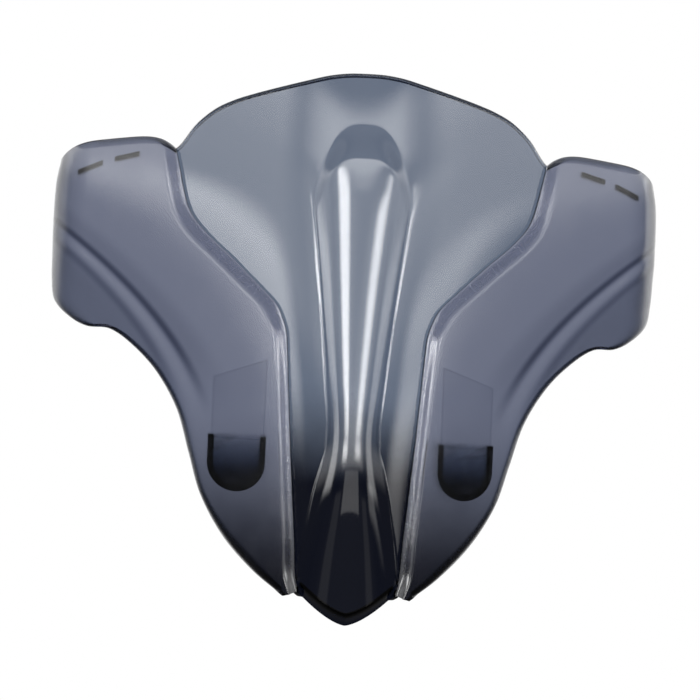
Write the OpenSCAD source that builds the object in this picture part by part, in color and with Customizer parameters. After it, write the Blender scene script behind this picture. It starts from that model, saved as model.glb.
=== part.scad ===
// Smoked motorcycle screen: a glossy double-waisted centre panel, two satin side wings lapped
// over its margins, and the receivers behind the wings that locate it on the fairing.
// +X right, +Y towards the rider, +Z up along the screen, mm. The origin is level with the lower
// tip, at the middle of the width and depth.

/* [Overall size] */
// Width across both ears
screen_w = 450; // [360:1:530]
// Height from the lower tip to the top edge
screen_h = 392.5; // [320:0.5:480]
// How far the sides sweep back, as a share of the usual sweep
sweep = 1; // [0.7:0.01:1.3]

/* [Panels] */
// Wall of the glossy centre panel
centre_t = 3; // [2:0.1:5]
// Wall of each satin wing
wing_t = 2.6; // [2:0.1:4]
// How far a wing stands proud of the centre panel
step_h = 6; // [2:0.5:12]
// How far the centre spine is raised
spine_h = 11; // [4:0.5:18]
// Depth of the turned-back lip along the lower tip
lip_d = 13; // [6:0.5:18]
// How far the outer side of an ear wraps back
ear_wrap = 34; // [20:1:50]

/* [Lap joint] */
// Thickness of the bonding strip
bond_t = 0.5; // [0.3:0.1:1.5]
// Clearance from the bonding strip to the panel on each side of it
bond_gap = 0.15; // [0.05:0.05:0.4]

/* [Receivers] */
// Outside width of a U receiver
socket_w = 41; // [30:1:50]
// Wall of a U receiver
socket_wall = 4; // [2.5:0.5:6]
// Straight length of the arms above the round end
socket_arm = 19; // [12:1:40]
// Where the flat rear face of the receivers lies, behind the middle of the depth
socket_y = -14; // [-18:1:10]
// Floor that closes the rear of a receiver
socket_floor = 3; // [2:0.5:6]
// Length of an ear tab
tab_l = 18; // [12:1:24]
// Thickness of an ear tab
tab_t = 2.4; // [1.6:0.2:4]
// How far an ear tab stands behind the ear
tab_d = 12; // [6:1:20]
// Clearance between a receiver or tab and the back of its wing
seat = 0.25; // [0.1:0.05:0.5]

/* [Hidden] */

sx = screen_w / 450;
sz = screen_h / 392.5;
lap = wing_t + 2 * bond_gap + bond_t;
$fn = 48;

// One row of the right wing per line, from the ear down to the lower end: inner edge x and z,
// outer edge x and z, width of the slanted strip, then the side and depth of the outer turn.
RIM = [
    [135, 335, 221, 326, 11, 26, 1.0],
    [132, 321.5, 224, 309, 11.5, 26, 1.0],
    [124.5, 293, 225, 283, 12, 26, 1.0],
    [112, 276, 225, 259, 14, 26, 0.9],
    [91.5, 257.5, 225, 237, 14.5, 26, 0.72],
    [71.5, 238.5, 222, 221.5, 14, 21, 0.5],
    [59.5, 226.5, 210, 210, 13, 13, 0.34],
    [54.5, 217.5, 196, 203.5, 12, 8, 0.25],
    [50.5, 205.5, 178, 202, 10.5, 6, 0.22],
    [49, 189.5, 160, 190.5, 9.5, 6, 0.2],
    [47.5, 169, 142, 172.5, 8.5, 6, 0.2],
    [45.5, 141.5, 126, 146.5, 8.5, 6, 0.2],
    [43.5, 117, 116, 116, 8.5, 6, 0.2],
    [41, 87.5, 106, 86, 9, 6, 0.22],
    [38.5, 58.5, 88.5, 57, 9, 7, 0.25],
    [37, 37, 67, 35, 9, 6, 0.22],
    [35, 23, 45, 19.5, 6, 3, 0.15]
];
// Height of the centre panel's top edge above its side notches, against the share of the half width.
TOP = [[0, 57.5], [0.09, 57.2], [0.18, 55.8], [0.35, 49.8], [0.53, 43.2], [0.7, 36], [0.78, 30.5],
       [0.86, 21.5], [0.93, 11.5], [1, 0]];
// Half width of the spine between its creases, against height.
CREASE = [[0, 38], [38, 36], [62, 32], [85, 28], [112, 22], [131, 18], [160, 20], [214, 25],
          [267, 31], [310, 37], [345, 46], [400, 60]];

LAST = len(RIM) - 1;
ROWS = concat([for (i = [0:37]) i * 0.41], [15.4, 15.6, 15.75, 15.88, 16]);

function ss(a, b, t) = let (q = max(0, min(1, (t - a) / (b - a)))) q * q * (3 - 2 * q);
function blend4(a, b, c, d, t) =
    0.5 * (2 * b + (c - a) * t + (2 * a - 5 * b + 4 * c - d) * t * t
           + (3 * b - a - 3 * c + d) * t * t * t);
function rim(s) = let (i = min(floor(s), LAST - 1))
    blend4(RIM[max(i - 1, 0)], RIM[i], RIM[i + 1], RIM[min(i + 2, LAST)], s - i);

// The master surface that both panels follow: how far back it lies at x across and z up.
function sweep_k(z) = sweep * (1.05 - 0.43 * ss(60, 340, z));
function hull_y(x, z) = 0.0003 * z * z + sweep_k(z) * (sqrt(x * x + 70 * 70) - 70);
function spine_y(x, z) = let (q = min(1, abs(x) / lookup(z, CREASE)))
    -spine_h * (0.5 + 0.5 * cos(180 * q)) * ss(352, 270, z) * (0.45 + 0.55 * ss(0, 110, z));
// Distance across the diagonal fold that runs from the ear side to the lower edge of a wing.
function fold(x, z) = let (d = z - 130) 0.735 * (x - 118.5 - 0.2085 * d - 0.00405 * d * d);
function fold_y(x, z) = let (t = fold(x, z))
    0.3 * (sqrt(t * t + 20) + t) - 2.6 * exp(-pow((t + 7) / 6, 2));
function wing_y(x, z) = hull_y(x, z) - step_h - lap + fold_y(x, z);

// Right wing, front face: slanted strip, face, then the outer turn.
STRIP = [0, 0.5, 1];
FACE = [for (i = [1:9]) i / 9];
TURN = [22.5, 45, 67.5, 90];
function wing_row(s) = let (
        r = rim(s), a = [r[0], r[1]], b = [r[2], r[3]], run = norm(b - a), e = (b - a) / run,
        at = concat([for (w = STRIP) w * r[4]],
                    [for (f = FACE) r[4] + f * (run - r[5] - r[4])],
                    [for (q = TURN) run - r[5] + r[5] * sin(q)]),
        n = len(STRIP) + len(FACE), lift = 11 * pow(max(0, 1 - s / 2.6), 2))
    [for (i = [0:len(at) - 1]) let (
        f = at[i] / run, p = a + e * at[i], z = p[1] + lift * (1 - pow(2 * f - 1, 4)),
        w = min(1, at[i] / r[4]),
        y = w < 1 ? hull_y(p[0], z) - lap - step_h * w + w * fold_y(p[0], z) : wing_y(p[0], z),
        turn = i < n ? 0 : ear_wrap * r[6] * (1 - cos(TURN[i - n])))
     [sx * p[0], y + turn, sz * z]];

// Centre panel, front face between the two inner edges.
HALF = [for (i = [0:11]) i / 12.4];
function centre_point(u, s) = let (
        r = rim(s), q = abs(u), x = u * r[0],
        top = lookup(q, TOP) * pow(max(0, 1 - s / 7), 2),
        foot = -23 * (1 - pow(q, 1.5)),
        z = r[1] + top + foot * pow(max(0, (s - 12) / 4), 2),
        lip = lip_d * ss(9, 0, z - 23 - foot) * ss(1, 0.86, q))
    [sx * x, hull_y(x, z) + spine_y(x, z) + lip, sz * z];

function back_n(g, i, j) = let (
        a = g[i][min(j + 1, len(g[0]) - 1)] - g[i][max(j - 1, 0)],
        b = g[max(i - 1, 0)][j] - g[min(i + 1, len(g) - 1)][j], c = cross(b, a)) c / norm(c);
function behind(g, t) = [for (i = [0:len(g) - 1])
    [for (j = [0:len(g[0]) - 1]) g[i][j] + t * back_n(g, i, j)]];
function flip(p) = [-p[0], p[1], p[2]];
function backwards(v) = [for (i = [len(v) - 1:-1:0]) v[i]];

WING = [for (s = ROWS) wing_row(s)];
MARGIN = [for (row = behind(WING, lap)) [row[0], row[1], row[2] * 0.75 + row[1] * 0.25]];
CENTRE = [for (i = [0:len(ROWS) - 1]) concat(
    backwards([for (p = MARGIN[i]) flip(p)]),
    [for (u = backwards(HALF)) centre_point(-u, ROWS[i])],
    [for (k = [1:len(HALF) - 1]) centre_point(HALF[k], ROWS[i])],
    MARGIN[i])];

// Half of the depth, which brings the middle of the part to y = 0.
function depths(g) = [for (r = g) for (p = r) p[1]];
mid_y = (min(depths(CENTRE)) + max(depths(concat(WING, behind(WING, wing_t))))) / 2;
module placed() translate([0, -mid_y, 0]) children();

// A closed wall between a front grid and the grid behind it. Columns before the middle one are
// split along the other diagonal, so that both halves of the centre panel match the wings.
module skin(front, back, middle = 0) {
    nr = len(front);
    nc = len(front[0]);
    m = nr * nc;
    pts = concat([for (r = front) each r], [for (r = back) each r]);
    faces = concat(
        [for (i = [0:nr - 2]) for (j = [0:nc - 2]) let (a = i * nc + j, d = a + nc)
            each j < middle
                ? [[a, a + 1, d], [a + 1, d + 1, d],
                   [m + a, m + d, m + a + 1], [m + a + 1, m + d, m + d + 1]]
                : [[a, a + 1, d + 1], [a, d + 1, d],
                   [m + a, m + d + 1, m + a + 1], [m + a, m + d, m + d + 1]]],
        [for (j = [0:nc - 2]) let (b = m - nc + j)
            each [[j, m + j, m + j + 1], [j, m + j + 1, j + 1],
                  [b, b + 1, m + b + 1], [b, m + b + 1, m + b]]],
        [for (i = [0:nr - 2]) let (a = i * nc, d = a + nc, p = a + nc - 1, q = p + nc)
            each [[a, d, m + d], [a, m + d, m + a],
                  [p, m + p, m + q], [p, m + q, q]]]);
    polyhedron(points = pts, faces = faces, convexity = 8);
}

module centre_screen() color([0.30, 0.33, 0.40]) 
    placed() skin(CENTRE, behind(CENTRE, centre_t), (len(CENTRE[0]) - 1) / 2);

module wing() placed() skin(WING, behind(WING, wing_t));
module right_wing() color([0.36, 0.38, 0.44]) wing();
module left_wing() color([0.36, 0.38, 0.44]) mirror([1, 0, 0]) wing();

// The bonding strip lies inside the lap, a little short of it all round.
module bond_strip() placed() {
    near = behind(WING, wing_t + bond_gap);
    far = behind(WING, wing_t + bond_gap + bond_t);
    last = len(ROWS) - 2;
    skin([for (i = [1:last]) [0.85 * near[i][0] + 0.15 * near[i][1], near[i][1],
                              0.5 * (near[i][1] + near[i][2])]],
         [for (i = [1:last]) [0.85 * far[i][0] + 0.15 * far[i][1], far[i][1],
                              0.5 * (far[i][1] + far[i][2])]]);
}
module right_bond_strip() color([0.12, 0.12, 0.14]) bond_strip();
module left_bond_strip() color([0.12, 0.12, 0.14]) mirror([1, 0, 0]) bond_strip();

// Back of the right wing as far as the tabs reach, found from its front and the slope there.
function ear_y(x, z) = let (r = rim(max(0, (335 - z) / 26)), q = z < 240 ? 0 : max(0, (x - r[2] + r[5]) / r[5]))
    wing_y(x, z) + ear_wrap * (1 - sqrt(1 - min(1, q * q)));
function wing_back_y(x, z) = let (
        X = x / sx, Z = z / sz, gx = (ear_y(X + 1, Z) - ear_y(X - 1, Z)) / (2 * sx),
        gz = (ear_y(X, Z + 1) - ear_y(X, Z - 1)) / (2 * sz))
    ear_y(X, Z) + wing_t * sqrt(1 + gx * gx + gz * gz) + seat;

socket_r = socket_w / 2;
socket_x = 81 * sx;
socket_z = 111 * sz;
rear = socket_y + mid_y;

// A half circle with straight arms above it.
module arch(r, arm) {
    intersection() {
        circle(r);
        translate([-r, -r]) square([2 * r, r]);
    }
    translate([-r, 0]) square([2 * r, arm]);
}
// What lies in front of the back of the wing, where a receiver may not reach.
module wing_side(x0, x1, z0, z1) {
    n = 6;
    front = [for (i = [0:n]) [for (j = [0:n]) let (
        x = x0 + (x1 - x0) * j / n, z = z1 + (z0 - z1) * i / n) [x, -60, z]]];
    skin(front, [for (row = front) [for (p = row) [p[0], wing_back_y(p[0], p[2]), p[2]]]]);
}
module socket() placed() difference() {
    translate([socket_x, rear, socket_z]) rotate([90, 0, 0]) difference() {
        linear_extrude(rear) arch(socket_r, socket_arm);
        translate([0, 0, socket_floor])
            linear_extrude(rear) arch(socket_r - socket_wall, socket_arm + 1);
    }
    wing_side(socket_x - socket_r - 2, socket_x + socket_r + 2,
              socket_z - socket_r - 2, socket_z + socket_arm + 2);
}
module right_socket() color([0.16, 0.17, 0.20]) socket();
module left_socket() color([0.16, 0.17, 0.20]) mirror([1, 0, 0]) socket();

// A tab that rises towards the centre line, its root on the back of the ear.
module tab(x, z, slope) {
    n = 4;
    root = [for (i = [0, 1]) [for (j = [0:n]) let (
        a = (j / n - 0.5) * tab_l, px = x * sx + a, pz = z * sz - a * slope + (0.5 - i) * tab_t)
        [px, wing_back_y(px, pz) + 2 * seat, pz]]];
    skin(root, [for (row = root) [for (p = row) p + [0, tab_d, 0]]]);
}
module inner_tab() placed() tab(170, 328.5, 0.24);
module outer_tab() placed() tab(197, 320, 0.4);
module right_inner_tab() color([0.16, 0.17, 0.20]) inner_tab();
module right_outer_tab() color([0.16, 0.17, 0.20]) outer_tab();
module left_inner_tab() color([0.16, 0.17, 0.20]) mirror([1, 0, 0]) inner_tab();
module left_outer_tab() color([0.16, 0.17, 0.20]) mirror([1, 0, 0]) outer_tab();

centre_screen();
right_wing();
left_wing();
right_bond_strip();
left_bond_strip();
right_socket();
left_socket();
right_inner_tab();
right_outer_tab();
left_inner_tab();
left_outer_tab();
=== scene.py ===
import math

import bpy
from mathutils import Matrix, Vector


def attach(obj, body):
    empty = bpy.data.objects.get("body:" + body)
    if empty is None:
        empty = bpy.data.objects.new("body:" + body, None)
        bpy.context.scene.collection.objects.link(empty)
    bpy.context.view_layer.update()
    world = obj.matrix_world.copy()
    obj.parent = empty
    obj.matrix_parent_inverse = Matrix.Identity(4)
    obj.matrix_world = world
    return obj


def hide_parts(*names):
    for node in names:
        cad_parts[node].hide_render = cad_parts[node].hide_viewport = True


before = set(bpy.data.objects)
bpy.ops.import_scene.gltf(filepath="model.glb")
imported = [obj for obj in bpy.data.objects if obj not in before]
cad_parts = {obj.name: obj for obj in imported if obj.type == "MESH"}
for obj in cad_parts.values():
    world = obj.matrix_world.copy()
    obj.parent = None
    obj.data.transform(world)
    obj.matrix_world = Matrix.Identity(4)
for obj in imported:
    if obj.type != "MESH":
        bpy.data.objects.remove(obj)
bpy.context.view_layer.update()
scene = bpy.context.scene

# ---------------------------------------------------------------------------------------------
# Camera: a long lens level with the middle of the screen, a little to its left and rolled by
# 2.6 degrees, so that the screen hangs slightly askew.
AIM = Vector((-0.0032, -0.023, 0.1945))
TO_THE_LEFT = math.radians(-2)
ROLL = math.radians(2.6)
DISTANCE = 2.5
away = Vector((math.sin(TO_THE_LEFT), -math.cos(TO_THE_LEFT), 0))
bpy.ops.object.camera_add(location=AIM + away * DISTANCE)
camera = bpy.context.object
camera.rotation_euler = (-away).to_track_quat("-Z", "Y").to_euler()
camera.rotation_euler.rotate_axis("Z", ROLL)
camera.data.lens = 178.8
camera.data.clip_end = 60
scene.camera = camera
scene.view_settings.view_transform = "Standard"

# ---------------------------------------------------------------------------------------------
# Studio: seamless white paper behind the screen and a dim room in front of it. The room is
# brighter from 10 degrees up, where large soft boxes hang: a wide one to each side, and two
# narrow ones nearer the camera, which draw the two long streaks down the spine.
def colour(hexed):
    parts = [int(hexed[i : i + 2], 16) / 255 for i in (1, 3, 5)]
    return [c / 12.92 if c < 0.04045 else ((c + 0.055) / 1.055) ** 2.4 for c in parts] + [1]


# Adds a shader node with its settings and links. A pair of a node and one of its outputs is a
# link, anything else is a value. i0, i1 and so on name an input by its place.
def node(tree, kind, settings=None, **inputs):
    made = tree.nodes.new(kind)
    for key, value in (settings or {}).items():
        setattr(made, key, value)
    for key, value in inputs.items():
        socket = made.inputs[int(key[1:]) if key[1:].isdigit() else key.replace("_", " ")]
        if isinstance(value, tuple) and isinstance(value[0], bpy.types.Node):
            tree.links.new(value[0].outputs[value[1]], socket)
        else:
            socket.default_value = value
    return made


def maths(tree, what, *values):
    inputs = {f"i{place}": value for place, value in enumerate(values)}
    return (node(tree, "ShaderNodeMath", {"operation": what}, **inputs), 0)


# Maps a value from low to high onto first to last, straight or with soft ends.
def spread(tree, value, low, high, first=0.0, last=1.0, ends="LINEAR"):
    settings = {"interpolation_type": ends}
    return (node(tree, "ShaderNodeMapRange", settings, i0=value, i1=low, i2=high, i3=first, i4=last), 0)


def mix_numbers(tree, share, first, second):
    return (node(tree, "ShaderNodeMix", {"data_type": "FLOAT"}, i0=share, i2=first, i3=second), 0)


def mix_colours(tree, share, first, second, blend="MIX"):
    settings = {"data_type": "RGBA", "blend_type": blend}
    return (node(tree, "ShaderNodeMix", settings, i0=share, i6=first, i7=second), "Result")


# A ramp of brightness over an angle in degrees, from -180 to 180.
def bright_by_angle(tree, angle, stops):
    ramp = node(tree, "ShaderNodeValToRGB", Fac=spread(tree, angle, -math.pi, math.pi))
    dots = ramp.color_ramp.elements
    while len(dots) < len(stops):
        dots.new(1)
    for dot, (degrees, level) in zip(dots, stops):
        dot.position = degrees / 360 + 0.5
        dot.color = (level, level, level, 1)
    return (ramp, 0)


world = bpy.data.worlds.new("studio")
scene.world = world
world.use_nodes = True
tree = world.node_tree
tree.nodes.clear()
ray = node(tree, "ShaderNodeTexCoord")
way = node(tree, "ShaderNodeSeparateXYZ", Vector=(ray, "Generated"))
azimuth = maths(tree, "ARCTAN2", (way, "X"), maths(tree, "MULTIPLY", (way, "Y"), -1.0))
height = maths(tree, "ARCSINE", (way, "Z"))
# Brightness of the room against the angle around, 0 towards the camera, and the angle above.
AROUND = [
    (-180, 0.15), (-110, 0.2), (-84, 0.17), (-66, 0.195), (-45, 0.2), (-38, 0.06),
    (-28, 0.06), (-22, 0.1), (0, 0.13), (20, 0.11), (34, 0.06), (42, 0.1),
    (50, 0.22), (66, 0.205), (84, 0.17), (110, 0.17), (180, 0.2),
]
ABOVE = [
    (-180, 0.01), (-4, 0.02), (8, 0.04), (12, 0.8), (18, 0.8), (22.5, 0.9), (27, 1.5),
    (29, 0.2), (62, 0.2), (75, 0.5), (180, 0.5),
]
ROOM = 12.0
# The soft boxes: span around and above in degrees, how soft each pair of edges is, brightness,
# and how far the top leans around for each degree up.
BOXES = [
    ((-28, -13), (10.5, 23), (6, 2), 12.0, 0.0),  # left streak
    ((-38, -6), (10, 23), (16, 4), 1.3, 0.0),  # its glow
    ((-9, 7), (10.5, 20.5), (10, 2), 9.5, 1.5),  # right streak
    ((-18, 18), (10, 21), (16, 4), 1.3, 1.5),  # its glow
    ((-25, 30), (8.5, 12), (8, 2), 0.8, 0.0),  # foot of both streaks
    ((-34, 34), (23.5, 28.5), (16, 2), 2.9, 0.0),  # over the arch
    ((-64, -47), (5.5, 14), (7, 5), 4.2, 0.0),  # left haze
    ((44, 62), (3.5, 12), (8, 5), 2.8, 0.0),  # right haze
    ((40, 54), (-2, 6.5), (6, 3), 1.2, 0.0),  # right haze, lower part
    ((-150, -112), (-8, 18), (12, 8), 0.9, 0.0),  # rim of the left ear
    ((112, 150), (-8, 18), (12, 8), 1.6, 0.0),  # rim of the right ear
    ((-40, 40), (-12, 2), (20, 6), 0.08, 0.0),  # fill for the tip
    ((-32, -19), (-12, 2), (4, 2), 0.2, 0.0),  # left band in the tip
    ((24, 33), (-12, 0), (4, 2), 0.2, 0.0),  # right band in the tip
    ((-14, 16), (-4.7, 8), (3, 0.5), 1.1, 0.0),  # grey card in the tip
]
around_it = bright_by_angle(tree, azimuth, AROUND)
above_it = bright_by_angle(tree, height, ABOVE)
room = maths(tree, "MULTIPLY", maths(tree, "MULTIPLY", around_it, above_it), ROOM)


def soft_box(room, around, above, soft, strength, lean):
    shifted = maths(tree, "MULTIPLY_ADD", height, -lean, azimuth)
    spot = 1.0
    for angle, span, blur in ((shifted, around, soft[0]), (height, above, soft[1])):
        for edge, inwards in zip(span, (1, -1)):
            outer = math.radians(edge - inwards * blur / 2)
            inner = math.radians(edge + inwards * blur / 2)
            side = spread(tree, angle, outer, inner, ends="SMOOTHSTEP")
            spot = maths(tree, "MULTIPLY", spot, side)
    return maths(tree, "MULTIPLY_ADD", spot, strength, room)


for box in BOXES:
    room = soft_box(room, *box)
# White paper hangs behind the screen. It ends at the sides and above the floor.
paper = spread(tree, (way, "Y"), 0.5, 0.9, ends="SMOOTHSTEP")
sill = spread(tree, (way, "Z"), -0.35, -0.15, ends="SMOOTHSTEP")
mirrored = mix_numbers(tree, maths(tree, "MULTIPLY", paper, sill), room, 1.0)
path = node(tree, "ShaderNodeLightPath")
through = maths(tree, "MAXIMUM", (path, "Is Camera Ray"), (path, "Is Transmission Ray"))
level = mix_numbers(tree, through, mirrored, 1.0)
shine = node(tree, "ShaderNodeBackground", Color=colour("#FFFFFF"), Strength=level)
node(tree, "ShaderNodeOutputWorld", Surface=(shine, 0))

# Pale floor, below the screen as it hangs.
bpy.ops.object.select_all(action="DESELECT")
bpy.ops.mesh.primitive_plane_add(size=2.6, location=(0, 0, -0.42))
floor = bpy.context.object
floor.name = "floor"
floor.visible_glossy = False
pale = bpy.data.materials.new("pale floor")
pale.use_nodes = True
paint = pale.node_tree.nodes["Principled BSDF"]
paint.inputs["Base Color"].default_value = colour("#F2F2F2")
paint.inputs["Roughness"].default_value = 0.7
floor.data.materials.append(pale)

# ---------------------------------------------------------------------------------------------
# Centre panel: one sheet of smoke-tinted polycarbonate, 3 mm thick, pressed over a polished
# mould into a raised spine with a waist. Its edge is rolled over, and the lower tip is turned
# back in a lip, so the tint piles up there. Its lower end is also painted darker as painted
# shade, and together they read black.
MM = 0.001
BACK = -0.08335  # brings the middle of the depth to zero
LAP = 3.4  # wing wall, adhesive and clearances between the front faces of wing and centre
# One line per row of the wing, from the top down: x and z of its inner edge, x and z of its
# outer edge, width of the strip, width of the turned side, and how deep that turns back.
RIM = [
    (135, 335, 221, 326, 11, 26, 1.0),
    (132, 321.5, 224, 309, 11.5, 26, 1.0),
    (124.5, 293, 225, 283, 12, 26, 1.0),
    (112, 276, 225, 259, 14, 26, 0.9),
    (91.5, 257.5, 225, 237, 14.5, 26, 0.72),
    (71.5, 238.5, 222, 221.5, 14, 21, 0.5),
    (59.5, 226.5, 210, 210, 13, 13, 0.34),
    (54.5, 217.5, 196, 203.5, 12, 8, 0.25),
    (50.5, 205.5, 178, 202, 10.5, 6, 0.22),
    (49, 189.5, 160, 190.5, 9.5, 6, 0.2),
    (47.5, 169, 142, 172.5, 8.5, 6, 0.2),
    (45.5, 141.5, 126, 146.5, 8.5, 6, 0.2),
    (43.5, 117, 116, 116, 8.5, 6, 0.2),
    (41, 87.5, 106, 86, 9, 6, 0.22),
    (38.5, 58.5, 88.5, 57, 9, 7, 0.25),
    (37, 37, 67, 35, 9, 6, 0.22),
    (35, 23, 45, 19.5, 6, 3, 0.15),
]
# Height of the top edge above the side notches, against the share of the half width.
TOP = [
    (0, 57.5), (0.1, 57.1), (0.2, 55.2), (0.3, 51.8), (0.4, 48.2), (0.5, 44.5),
    (0.6, 40.6), (0.7, 36), (0.8, 29.2), (0.9, 17.5), (1, 0),
]
# Against height: half width of the spine between its creases, and how far out from the middle
# its rounded crown has turned away by one in five.
CREASE = [
    (0, 38), (45, 34.5), (90, 27), (131, 18.5), (175, 21),
    (220, 25.5), (267, 31), (310, 37), (350, 47), (400, 60),
]
LEAN = [
    (0, 15.5), (45, 12.4), (90, 8), (131, 5.4), (175, 7.2),
    (220, 9.6), (267, 12), (310, 14.4), (350, 18.5), (400, 26),
]
SWEEP = 70  # half width over which the sweep back sets in
ARCH_TOP, ARCH_DROP, ARCH_HALF = 351, 58, 37  # where the spine runs out, and how that falls off
GROOVE, RIDGE = 0.4, 0.3  # along the creases, above and below the waist
LAST_ROW = RIM[-1][1]  # the height of the last row; the tip reaches down to zero
LIP = 13
ROLL_BACK, ROLL_WIDTH = 2, 3.2


def ease(a, b, t):
    q = min(1, max(0, (t - a) / (b - a)))
    return q * q * (3 - 2 * q)


def curve(table, s):
    i = max(0, min(len(table) - 2, int(s)))
    t = s - i
    a, b, c, d = (table[min(max(k, 0), len(table) - 1)] for k in (i - 1, i, i + 1, i + 2))
    return [
        0.5 * (2 * q + (r - p) * t + (2 * p - 5 * q + 4 * r - w) * t * t + (3 * q - p - 3 * r + w) * t**3)
        for p, q, r, w in zip(a, b, c, d)
    ]


# The value at x of a smooth line through the points of a table.
def profile(table, x):
    for i in range(len(table) - 1):
        if x <= table[i + 1][0] or i == len(table) - 2:
            t = min(1, max(0, (x - table[i][0]) / (table[i + 1][0] - table[i][0])))
            return curve(table, i + t)[1]


def sweep_back(x, z):
    return 0.0003 * z * z + (1.05 - 0.43 * ease(60, 340, z)) * (math.sqrt(x * x + SWEEP**2) - SWEEP)


# The spine's crown gets steeper towards the creases, where it meets the swept sides at a fold
# with a fine groove. At the top it runs out in an arch.
def centre_depth(x, z):
    foot, lean = profile(CREASE, z), profile(LEAN, z)
    side = sweep_back(x, z)
    arch = ARCH_TOP - ARCH_DROP * abs(x / ARCH_HALF) ** 3
    run_out = ease(arch + 4, arch - 20, z)
    crease_line = math.exp(-(((x - foot) / 0.6) ** 2))
    groove = (GROOVE * ease(118, 130, z) * ease(318, 290, z) - RIDGE * ease(122, 112, z)) * crease_line
    if x >= foot:
        return side + groove

    def crown(d):
        return 0.2 * d * (d / lean) ** 1.25 / 2.25

    raised = sweep_back(foot, z) - crown(foot) + crown(x)
    return side + (raised - side) * run_out + groove


def centre_height(q, s, row):
    top = profile(TOP, q) * max(0, 1 - s / 7) ** 2
    foot = -LAST_ROW * (1 - q**1.5)
    return row[1] + top + foot * max(0, (s - 12) / 4) ** 2, foot


# Half of the columns lie between the creases, so that one of them runs down each crease.
def centre_point(u, s):
    row = curve(RIM, s)
    crease = 0.5 * row[0]
    for i in range(4):
        crease = min(0.8 * row[0], profile(CREASE, centre_height(crease / row[0], s, row)[0]))
    a = abs(u)
    x = crease * a / 0.5 if a < 0.5 else crease + (row[0] - crease) * (a - 0.5) / 0.5
    q = min(1, x / row[0])
    z, foot = centre_height(q, s, row)
    lip = LIP * ease(9, 0, z - LAST_ROW - foot) * ease(1, 0.86, q)
    below = s * (13.5 + 0.285 * profile(TOP, q))
    roll = ROLL_BACK * max(0, 1 - below / ROLL_WIDTH) ** 2
    return math.copysign(x, u), centre_depth(x, z) + lip + roll, z


# A grid laid over a formed surface. The rows are closer together at both ends.
def sheet(name, across, along, point):
    bpy.ops.object.select_all(action="DESELECT")
    bpy.ops.mesh.primitive_grid_add(x_subdivisions=across, y_subdivisions=along, size=2)
    made = bpy.context.object
    made.name = made.data.name = name
    for v in made.data.vertices:
        down = (1 - v.co.y) / 2
        down -= 0.6 * math.sin(2 * math.pi * down) / (2 * math.pi)
        x, y, z = point(v.co.x, 16 * down)
        v.co = (x * MM, y * MM + BACK, z * MM)
    return made


def thicken(piece, wall, edge):
    solid = piece.modifiers.new("wall", "SOLIDIFY")
    solid.thickness = wall * MM
    solid.offset = -1
    solid.use_even_offset = True
    bpy.ops.object.modifier_apply(modifier=solid.name)
    rim = piece.modifiers.new("rim", "BEVEL")
    rim.width = edge * MM
    rim.segments = 3
    rim.limit_method = "ANGLE"
    rim.angle_limit = math.radians(62)
    bpy.ops.object.modifier_apply(modifier=rim.name)
    bpy.ops.object.shade_smooth_by_angle(angle=math.radians(50))


# Smoke polycarbonate: a blue-grey dye through the whole wall, so light is lost with depth and
# every edge goes dark. Towards the lower end the base colour is painted darker, as painted
# shade. bump holds the scale, strength and depth of the surface grain. The lower, painted
# shade tint fades into the upper from bottom to start. shade, when given, multiplies in more
# painted shade.
def smoke(name, roughness, bump, upper, lower, bottom, start, shade=None):
    made = bpy.data.materials.new(name)
    made.use_nodes = True
    tree = made.node_tree
    tree.nodes.clear()
    where = node(tree, "ShaderNodeTexCoord")
    axis = node(tree, "ShaderNodeSeparateXYZ", Vector=(where, "Object"))
    cloud = node(tree, "ShaderNodeTexNoise", Vector=(where, "Object"), Scale=18.0, Detail=3.0)
    wander = maths(tree, "MULTIPLY_ADD", (cloud, 0), 0.03, (axis, "Z"))
    fade = spread(tree, wander, bottom + 0.015, start + 0.015, ends="SMOOTHSTEP")
    tint = mix_colours(tree, fade, colour(lower), colour(upper))
    if shade:
        tint = mix_colours(tree, 1.0, tint, shade(tree, axis), blend="MULTIPLY")
    smear = node(tree, "ShaderNodeTexNoise", Vector=(where, "Object"), Scale=35.0, Detail=5.0)
    gloss = spread(tree, (smear, 0), 0.3, 0.7, roughness * 0.8, roughness * 1.25)
    scale, strength, depth = bump
    grain = node(tree, "ShaderNodeTexNoise", Vector=(where, "Object"), Scale=scale, Detail=2.0)
    pitted = node(tree, "ShaderNodeBump", Strength=strength, Distance=depth, Height=(grain, 0))
    plastic = node(
        tree,
        "ShaderNodeBsdfPrincipled",
        Base_Color=tint,
        Roughness=gloss,
        IOR=1.58,
        Transmission_Weight=1.0,
        Normal=(pitted, 0),
    )
    dye = node(tree, "ShaderNodeVolumeAbsorption", Color=(0.005, 0.107, 0.267, 1), Density=650.0)
    node(tree, "ShaderNodeOutputMaterial", Surface=(plastic, 0), Volume=(dye, 0))
    return made


# The lower tint is painted shade: below about 0.17 m the panel is painted darker, standing in for the
# dark surroundings seen through its lower end.
smoke_gloss = smoke(
    "smoke polycarbonate polished",
    roughness=0.045,
    bump=(25, 0.05, 0.0002),
    upper="#FFFFFF",
    lower="#2A2C3A",
    bottom=0.1,
    start=0.17,
)

centre_panel = sheet("centre_panel", 170, 260, centre_point)
thicken(centre_panel, 3.0, 0.7)
centre_panel.data.materials.append(smoke_gloss)
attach(centre_panel, "root")
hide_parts("centre_screen")


# ---------------------------------------------------------------------------------------------
# Side wings: the same dyed polycarbonate, injection moulded 2.6 mm thick against a
# spark-eroded mould, so the front is satin with a fine grain. Each is bonded over a margin of
# the centre panel with a slanted strip, and its outer side is turned back.
FOLD_X, FOLD_Z = 120, 130  # a point on the fold
FOLD_SLANT, FOLD_BEND = 0.2085, 0.00405
ACROSS = 0.735  # turns a run along x into one across the fold
STRIP_END, FACE_END = 0.16, 0.78  # shares of the columns
STEP = 6
TURN = 34
EAR_ARCH = 11


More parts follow.
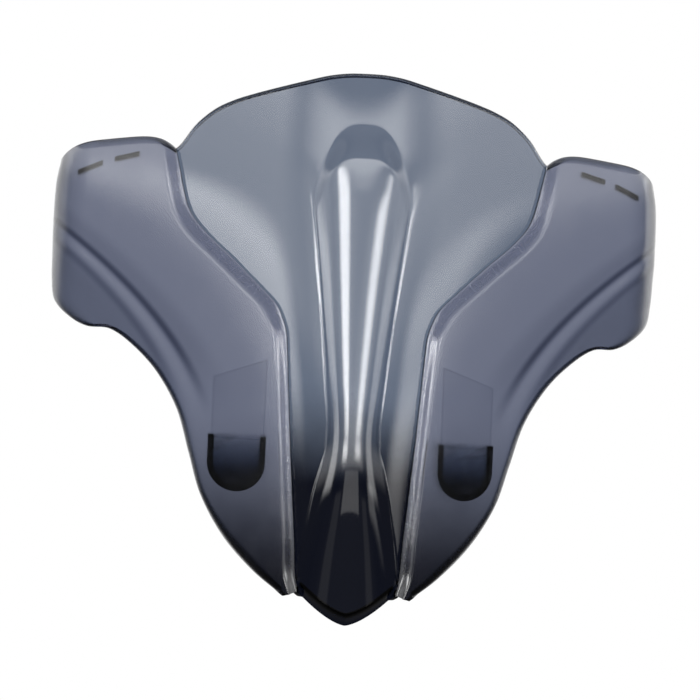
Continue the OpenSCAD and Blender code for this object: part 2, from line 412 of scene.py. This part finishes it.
def fold(x, z):
    d = z - FOLD_Z
    t = ACROSS * (x - FOLD_X - FOLD_SLANT * d - FOLD_BEND * d * d)
    return 0.3 * (math.sqrt(t * t + 20) + t) + 1.3 * math.exp(-(((t + 12) / 5) ** 2)) * ease(130, 170, z)


def wing_point(c, s):
    r = curve(RIM, s)
    ax, az, bx, bz = r[:4]
    run = math.hypot(bx - ax, bz - az)
    band = ease(12.8, 14.8, s) * ease(15.85, 15.6, s)
    side = r[5] * (1 + 0.9 * band)
    if c < STRIP_END:
        at, turn = c / STRIP_END * r[4], 0
    elif c < FACE_END:
        at, turn = r[4] + (c - STRIP_END) / (FACE_END - STRIP_END) * (run - side - r[4]), 0
    else:
        q = (c - FACE_END) / (1 - FACE_END) * math.pi / 2
        at = run - side + side * math.sin(q)
        turn = TURN * r[6] * (1 + 2 * band) * (1 - math.cos(q)) ** 1.25
    f = at / run
    x = ax + (bx - ax) * f
    z = az + (bz - az) * f + EAR_ARCH * max(0, 1 - s / 2.6) ** 2 * (1 - (2 * f - 1) ** 4)
    w = min(1, at / r[4])
    y = sweep_back(x, z) - LAP - STEP * ease(-0.08, 1.06, w) + w * fold(x, z)
    roll = 5 * max(0, 1 - s / 0.36) ** 2 * ease(1, 0.7, c)
    return x, y + turn + roll, z


# Painted shade on the wings. Above each receiver its seat shows faintly through the wing as a
# painted patch with a slanted top and a fine outline, a touch darker than the rest. Painted
# shade also darkens the bends of the fold and the whole skirt outside it, which faces down.
SEAT_X, SEAT_HALF = 0.081, 0.0185
SEAT_TOP, SEAT_SLOPE, SEAT_FOOT = 0.178, -0.36, 0.128
# Painted shade lines along the bends of the fold: distance across the fold, half width and how much light
# is left.
FOLD_SHADE_LINES = [(-15.5, 4.6, 0.34), (-23.0, 14.0, 0.84), (-1.5, 5.0, 0.66)]
# Powers for red, green and blue that make the painted shade bluish.
SHADE_COLOUR_POWERS = (("Red", 1.1), ("Green", 1.05), ("Blue", 0.88))


# Painted shade: a darker patch with a fine outline where the seat shows through the wing.
def seat_shade(tree, axis):
    x = maths(tree, "SUBTRACT", maths(tree, "ABSOLUTE", (axis, "X")), SEAT_X)
    top = maths(tree, "MULTIPLY_ADD", x, SEAT_SLOPE, SEAT_TOP)
    out = maths(tree, "SUBTRACT", maths(tree, "ABSOLUTE", x), SEAT_HALF)
    out = maths(tree, "MAXIMUM", out, maths(tree, "SUBTRACT", (axis, "Z"), top))
    out = maths(tree, "MAXIMUM", out, maths(tree, "SUBTRACT", SEAT_FOOT, (axis, "Z")))
    inside = spread(tree, out, -0.0004, 0.0002, 0.9, 1.0)
    line = spread(tree, maths(tree, "ABSOLUTE", out), 0.0002, 0.0007, 0.8, 1.0)
    return maths(tree, "MULTIPLY", inside, line)


def wing_shading(tree, axis):
    shade = seat_shade(tree, axis)
    d = maths(tree, "MULTIPLY_ADD", (axis, "Z"), 1 / MM, -FOLD_Z)
    slant = maths(tree, "MULTIPLY", d, -FOLD_SLANT)
    bend = maths(tree, "MULTIPLY_ADD", maths(tree, "MULTIPLY", d, d), -FOLD_BEND, slant)
    x = maths(tree, "ABSOLUTE", (axis, "X"))
    t = maths(tree, "MULTIPLY_ADD", x, 1 / MM, maths(tree, "SUBTRACT", bend, FOLD_X))
    t = maths(tree, "MULTIPLY", t, ACROSS)
    fade = spread(tree, (axis, "Z"), 0.14, 0.2, ends="SMOOTHSTEP")
    # Painted shade lines along the bends of the fold, faded in from z 0.14 to 0.2 m.
    for at, half, least in FOLD_SHADE_LINES:
        off = maths(tree, "ABSOLUTE", maths(tree, "SUBTRACT", t, at))
        root = spread(tree, off, 0.0, half, least, 1.0, ends="SMOOTHSTEP")
        shade = maths(tree, "MULTIPLY", shade, mix_numbers(tree, fade, 1.0, root))
    # Painted shade over the skirt outside the fold, which faces down.
    skirt_shade = spread(tree, t, -8.0, 0.0, 1.0, 0.84, ends="SMOOTHSTEP")
    shade = maths(tree, "MULTIPLY", shade, skirt_shade)
    parts = {part: maths(tree, "POWER", shade, power) for part, power in SHADE_COLOUR_POWERS}
    return (node(tree, "ShaderNodeCombineColor", **parts), 0)


# The lower tint is painted shade: the lower part of each wing faces down and is painted darker below
# about 0.16 m.
smoke_satin = smoke(
    "smoke polycarbonate spark-eroded",
    roughness=0.18,
    bump=(1400, 0.2, 0.0001),
    upper="#FFF6FA",
    lower="#2A2A36",
    bottom=0.03,
    start=0.16,
    shade=wing_shading,
)


def wing(name, node_name, side):
    made = sheet(name, 110, 260, lambda u, s: wing_point((u + 1) / 2, s))
    if side < 0:
        for v in made.data.vertices:
            v.co.x = -v.co.x
        made.data.flip_normals()
    thicken(made, 2.6, 0.7)
    made.data.materials.append(smoke_satin)
    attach(made, "root")
    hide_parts(node_name)
    return made


wing("right_wing_panel", "right_wing", 1)
wing("left_wing_panel", "left_wing", -1)


# ---------------------------------------------------------------------------------------------
# Bonding strips: clear acrylic foam tape, half a millimetre thick, laid in the lap between
# wing and centre panel. Clear tape wets both faces, so it hardly shows.
def clear_tape():
    made = bpy.data.materials.new("clear acrylic tape")
    made.use_nodes = True
    tree = made.node_tree
    tree.nodes.clear()
    where = node(tree, "ShaderNodeTexCoord")
    cells = node(tree, "ShaderNodeTexVoronoi", Vector=(where, "Object"), Scale=900.0)
    dapple = spread(tree, (cells, 0), 0.0, 1.0, 0.12, 0.3)
    grey = mix_colours(tree, (cells, 0), colour("#F4F5FA"), colour("#DFE2EA"))
    dimple = node(tree, "ShaderNodeBump", Strength=0.2, Distance=0.00005, Height=(cells, 0))
    tape = node(
        tree,
        "ShaderNodeBsdfPrincipled",
        Base_Color=grey,
        Roughness=dapple,
        IOR=1.3,
        Transmission_Weight=1.0,
        Normal=(dimple, 0),
    )
    node(tree, "ShaderNodeOutputMaterial", Surface=(tape, 0))
    return made


# A copy of a part as designed, with its seams closed and a material of its own.
def own_copy(node_name, name, material):
    bpy.ops.object.select_all(action="DESELECT")
    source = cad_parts[node_name]
    source.hide_set(False)
    source.select_set(True)
    bpy.context.view_layer.objects.active = source
    bpy.ops.object.duplicate()
    made = bpy.context.object
    made.name = name
    bpy.ops.object.mode_set(mode="EDIT")
    bpy.ops.mesh.select_all(action="SELECT")
    bpy.ops.mesh.remove_doubles(threshold=0.00001)
    bpy.ops.mesh.normals_make_consistent(inside=False)
    bpy.ops.object.mode_set(mode="OBJECT")
    bpy.ops.object.shade_smooth_by_angle(angle=math.radians(35))
    made.data.materials.clear()
    made.data.materials.append(material)
    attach(made, "root")
    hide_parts(node_name)
    return made


tape = clear_tape()
own_copy("right_bond_strip", "right_tape", tape)
own_copy("left_bond_strip", "left_tape", tape)


# ---------------------------------------------------------------------------------------------
# Receivers: U-shaped pockets of the same dyed polycarbonate, welded to the back of the wings.
# Their walls are seen end on through the satin, 20 to 50 mm deep, and read black. The floor
# behind them thickens downwards, and its lower end is painted darker as painted shade for the
# shadow inside the pocket, so it goes from clear at the open top to black at the round end.
# The lower tint is painted shade: the material is painted darker below about 0.114 m, towards the round
# end.
smoke_pocket = smoke(
    "smoke polycarbonate receiver",
    roughness=0.2,
    bump=(300, 0.2, 0.0001),
    upper="#FFFFFF",
    lower="#50505C",
    bottom=0.085,
    start=0.114,
)
FLOOR = -0.017  # y of the floor's front face as designed
THIN, WEDGE = -0.0144, 0.007  # its y at the open top, and how much further forward it comes
OPEN_TOP, WEDGE_RUN = 0.13, 0.034  # height where the wedge starts, and how far down it runs
for side in ("right", "left"):
    pocket = own_copy(side + "_socket", side + "_receiver", smoke_pocket)
    for v in pocket.data.vertices:
        if abs(v.co.y - FLOOR) < 0.00002:
            v.co.y = THIN - WEDGE * min(1, max(0, (OPEN_TOP - v.co.z) / WEDGE_RUN)) ** 1.6


# ---------------------------------------------------------------------------------------------
# Ear tabs: black glass-filled nylon hooks with a dull moulded face, welded behind the ears.
# They show through the satin as four dark dashes.
def black_nylon():
    made = bpy.data.materials.new("black nylon moulded dull")
    made.use_nodes = True
    tree = made.node_tree
    tree.nodes.clear()
    where = node(tree, "ShaderNodeTexCoord")
    fibre = node(tree, "ShaderNodeTexNoise", Vector=(where, "Object"), Scale=700.0, Detail=3.0)
    patch = node(tree, "ShaderNodeTexNoise", Vector=(where, "Object"), Scale=60.0, Detail=2.0)
    black = mix_colours(tree, (patch, 0), colour("#03040A"), colour("#080A14"))
    dull = spread(tree, (fibre, 0), 0.3, 0.7, 0.55, 0.75)
    rough = node(tree, "ShaderNodeBump", Strength=0.3, Distance=0.0001, Height=(fibre, 0))
    nylon = node(
        tree, "ShaderNodeBsdfPrincipled", Base_Color=black, Roughness=dull, IOR=1.5, Normal=(rough, 0)
    )
    node(tree, "ShaderNodeOutputMaterial", Surface=(nylon, 0))
    return made


nylon = black_nylon()
# The middle line of each hook: x and z of a point on it, and its slope. The lower half of a hook
# is drawn out by a millimetre.
HOOK_LINES = {"inner": (0.17, 0.3285, 0.24), "outer": (0.197, 0.32, 0.4)}
for side in ("right", "left"):
    for place, (x, z, slope) in HOOK_LINES.items():
        hook = own_copy(f"{side}_{place}_tab", f"{side}_{place}_hook", nylon)
        for v in hook.data.vertices:
            if v.co.z - z + slope * (abs(v.co.x) - x) < 0:
                v.co.z -= MM
